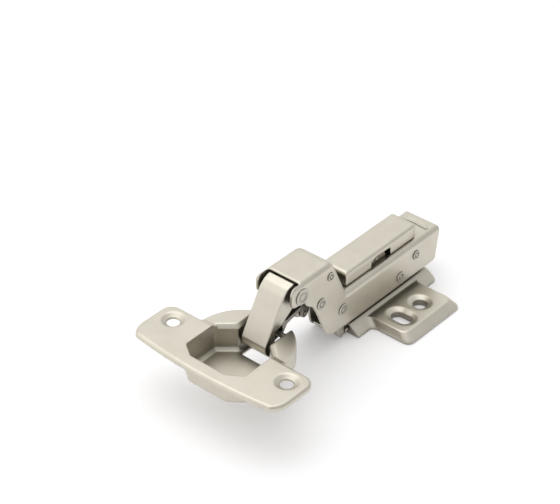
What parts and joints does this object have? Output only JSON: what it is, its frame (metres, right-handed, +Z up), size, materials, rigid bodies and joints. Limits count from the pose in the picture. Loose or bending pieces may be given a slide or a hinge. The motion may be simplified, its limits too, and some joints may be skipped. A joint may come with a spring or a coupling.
{
  "type": "concealed cabinet hinge",
  "caption": "Concealed cup hinge for an inset door: cranked arm on a cross mounting plate, linked to a flanged round cup, drawn with the door at a right angle.",
  "frame": {"origin": "midway between the mounting plate's two round screw holes, at the plate's underside", "axes": "+X along the arm towards the cup, +Y across the hinge, +Z up from the plate"},
  "size_m": [0.1156, 0.062, 0.0363],
  "materials": {
    "plate_steel": "satin nickel plate",
    "arm_steel": "satin nickel plate",
    "link_steel": "satin nickel plate",
    "dark_link_steel": "satin nickel plate",
    "spring_steel": "satin nickel plate",
    "cup_steel": "satin nickel plate",
    "pin_steel": "satin nickel plate",
    "channel_steel": "satin nickel plate",
    "cover_steel": "satin nickel plate",
    "bracket_steel": "satin nickel plate",
    "screw_steel": "satin nickel plate",
    "lever_steel": "satin nickel plate",
    "rivet_steel": "satin nickel plate",
    "damper_plastic": "moulded, matt"
  },
  "bodies": {
    "arm_and_plate": {"mounting_plate": "plate_steel", "arm": "arm_steel", "closing_spring": "spring_steel", "inner_channel": "channel_steel", "damper_cover": "cover_steel", "damper_body": "damper_plastic", "damper_bracket": "bracket_steel", "damper_bracket_pin": "pin_steel", "side_adjusting_screw": "screw_steel", "depth_adjusting_cam": "screw_steel", "release_lever_spring": "spring_steel", "outer_link_rivet": "rivet_steel", "spring_rivet": "rivet_steel", "inner_link_rivet": "rivet_steel", "base_rivet": "rivet_steel", "catch_rivet": "rivet_steel", "lever_rivet": "rivet_steel"},
    "outer_link": {"outer_link": "link_steel"},
    "cup": {"cup": "cup_steel", "outer_link_cup_pin": "pin_steel", "inner_link_cup_pin": "pin_steel"},
    "inner_link": {"inner_link": "dark_link_steel", "damper_link_pin": "pin_steel"},
    "damper_rod": {"damper_rod": "pin_steel"},
    "release_lever": {"release_lever": "lever_steel"}
  },
  "joints": [
    {"name": "outer_link_swing", "type": "hinge", "parent": "arm_and_plate", "child": "outer_link", "pos_m": [0.0529, 0, 0.0314], "axis": [0, -1, 0], "range_deg": [-21.8, 3.65]},
    {"name": "cup_swing", "type": "hinge", "parent": "outer_link", "child": "cup", "pos_m": [0.0647, 0, 0.0158], "axis": [0, -1, 0], "range_deg": [-18.6, 111.7]},
    {"name": "inner_link_swing", "type": "hinge", "parent": "arm_and_plate", "child": "inner_link", "pos_m": [0.0431, 0, 0.023], "axis": [0, -1, 0], "range_deg": [-43.6, 7.3]},
    {"name": "damper_stroke", "type": "slide", "parent": "arm_and_plate", "child": "damper_rod", "axis": [1, 0, 0], "range_m": [-0.0043, 0.00072]},
    {"name": "release_lever_press", "type": "hinge", "parent": "arm_and_plate", "child": "release_lever", "pos_m": [-0.0078, 0, 0.0149], "axis": [0, 1, 0], "range_deg": [0, 8], "stiffness_Nm_per_rad": 0.02}
  ],
  "couplings": [
    {"joint": "outer_link_swing", "follows": "cup_swing", "ratio": -0.19485},
    {"joint": "inner_link_swing", "follows": "cup_swing", "ratio": -0.38969},
    {"joint": "damper_stroke", "follows": "cup_swing", "m_per_rad": -0.0021938}
  ]
}
